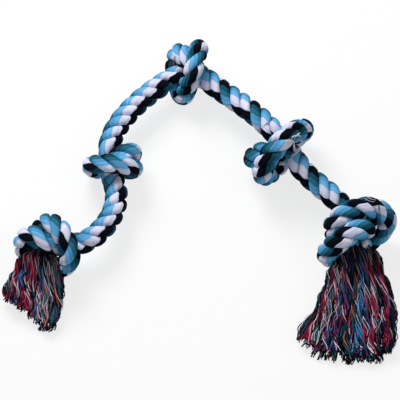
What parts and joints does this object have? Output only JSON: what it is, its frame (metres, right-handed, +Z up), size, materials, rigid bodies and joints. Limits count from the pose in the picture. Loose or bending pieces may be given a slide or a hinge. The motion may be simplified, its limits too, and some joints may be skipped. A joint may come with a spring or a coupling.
{
  "type": "rope dog toy",
  "caption": "Thick three-strand cotton rope tug toy with overhand knots tied along it and a frayed yarn tassel at each end, lying in an arch on the floor.",
  "frame": {"origin": "centre of the bounding box's bottom face, on the floor the toy lies on", "axes": "+X from the left tassel towards the right one, +Y towards the top of the arch, +Z up"},
  "size_m": [0.5104, 0.4273, 0.1001],
  "materials": {
    "strand_a": "light blue, teal, white and black cotton yarn, matt",
    "strand_b": "white, light blue, teal and black cotton yarn, matt",
    "strand_c": "teal, black, light blue and white cotton yarn, matt",
    "lock_maroon": "frayed mixed cotton yarn, mostly maroon, matt",
    "lock_navy": "frayed mixed cotton yarn, mostly navy, matt",
    "lock_teal": "frayed mixed cotton yarn, mostly teal, matt",
    "lock_pale": "frayed mixed cotton yarn, mostly pale lilac, matt",
    "lock_blue": "frayed mixed cotton yarn, mostly blue, matt",
    "lock_orange": "frayed mixed cotton yarn, mostly orange red, matt"
  },
  "bodies": {
    "knot_3": {"knot_3_strand_a": "strand_a", "knot_3_strand_b": "strand_b", "knot_3_strand_c": "strand_c"},
    "span_2": {"span_2_strand_a": "strand_a", "span_2_strand_b": "strand_b", "span_2_strand_c": "strand_c"},
    "knot_2": {"knot_2_strand_a": "strand_a", "knot_2_strand_b": "strand_b", "knot_2_strand_c": "strand_c"},
    "span_1": {"span_1_strand_a": "strand_a", "span_1_strand_b": "strand_b", "span_1_strand_c": "strand_c"},
    "knot_1": {"knot_1_strand_a": "strand_a", "knot_1_strand_b": "strand_b", "knot_1_strand_c": "strand_c"},
    "left_tassel": {"left_tassel_lock_01": "lock_maroon", "left_tassel_lock_02": "lock_navy", "left_tassel_lock_03": "lock_teal", "left_tassel_lock_04": "lock_pale", "left_tassel_lock_05": "lock_blue", "left_tassel_lock_06": "lock_orange", "left_tassel_lock_07": "lock_maroon", "left_tassel_lock_08": "lock_navy", "left_tassel_lock_09": "lock_teal", "left_tassel_lock_10": "lock_pale", "left_tassel_lock_11": "lock_blue", "left_tassel_lock_12": "lock_orange"},
    "span_3": {"span_3_strand_a": "strand_a", "span_3_strand_b": "strand_b", "span_3_strand_c": "strand_c"},
    "knot_4": {"knot_4_strand_a": "strand_a", "knot_4_strand_b": "strand_b", "knot_4_strand_c": "strand_c"},
    "span_4": {"span_4_strand_a": "strand_a", "span_4_strand_b": "strand_b", "span_4_strand_c": "strand_c"},
    "knot_5": {"knot_5_strand_a": "strand_a", "knot_5_strand_b": "strand_b", "knot_5_strand_c": "strand_c"},
    "right_tassel": {"right_tassel_lock_01": "lock_maroon", "right_tassel_lock_02": "lock_navy", "right_tassel_lock_03": "lock_teal", "right_tassel_lock_04": "lock_pale", "right_tassel_lock_05": "lock_blue", "right_tassel_lock_06": "lock_orange", "right_tassel_lock_07": "lock_maroon", "right_tassel_lock_08": "lock_navy", "right_tassel_lock_09": "lock_teal", "right_tassel_lock_10": "lock_pale", "right_tassel_lock_11": "lock_blue", "right_tassel_lock_12": "lock_orange"}
  },
  "joints": [
    {"name": "span_2_swing", "type": "hinge", "parent": "knot_3", "child": "span_2", "pos_m": [-0.05032, 0.15688, 0.03666], "axis": [0, 0, 1], "range_deg": [-40, 40]},
    {"name": "knot_2_lift", "type": "hinge", "parent": "span_2", "child": "knot_2", "pos_m": [-0.10999, 0.08823, 0.0358], "axis": [-0.9321, 0.3621, 0], "range_deg": [-40, 40]},
    {"name": "span_1_swing", "type": "hinge", "parent": "knot_2", "child": "span_1", "pos_m": [-0.10535, 0.00661, 0.03686], "axis": [0, 0, 1], "range_deg": [-40, 40]},
    {"name": "knot_1_lift", "type": "hinge", "parent": "span_1", "child": "knot_1", "pos_m": [-0.14339, -0.06234, 0.04247], "axis": [-0.4289, 0.9033, 0], "range_deg": [-40, 40]},
    {"name": "left_tassel_sway", "type": "hinge", "parent": "knot_1", "child": "left_tassel", "pos_m": [-0.20135, -0.10512, 0.03888], "axis": [0, 0, 1], "range_deg": [-25, 18]},
    {"name": "span_3_swing", "type": "hinge", "parent": "knot_3", "child": "span_3", "pos_m": [0.0147, 0.15929, 0.0379], "axis": [0, 0, 1], "range_deg": [-40, 40]},
    {"name": "knot_4_lift", "type": "hinge", "parent": "span_3", "child": "knot_4", "pos_m": [0.07738, 0.10113, 0.05278], "axis": [-0.7299, -0.6835, 0], "range_deg": [-40, 40]},
    {"name": "span_4_swing", "type": "hinge", "parent": "knot_4", "child": "span_4", "pos_m": [0.13043, 0.03208, 0.04781], "axis": [0, 0, 1], "range_deg": [-40, 40]},
    {"name": "knot_5_lift", "type": "hinge", "parent": "span_4", "child": "knot_5", "pos_m": [0.17888, -0.01506, 0.04233], "axis": [-0.7961, -0.6052, 0], "range_deg": [-40, 40]},
    {"name": "right_tassel_sway", "type": "hinge", "parent": "knot_5", "child": "right_tassel", "pos_m": [0.20305, -0.09753, 0.04373], "axis": [0, 0, 1], "range_deg": [-14, 25]}
  ]
}
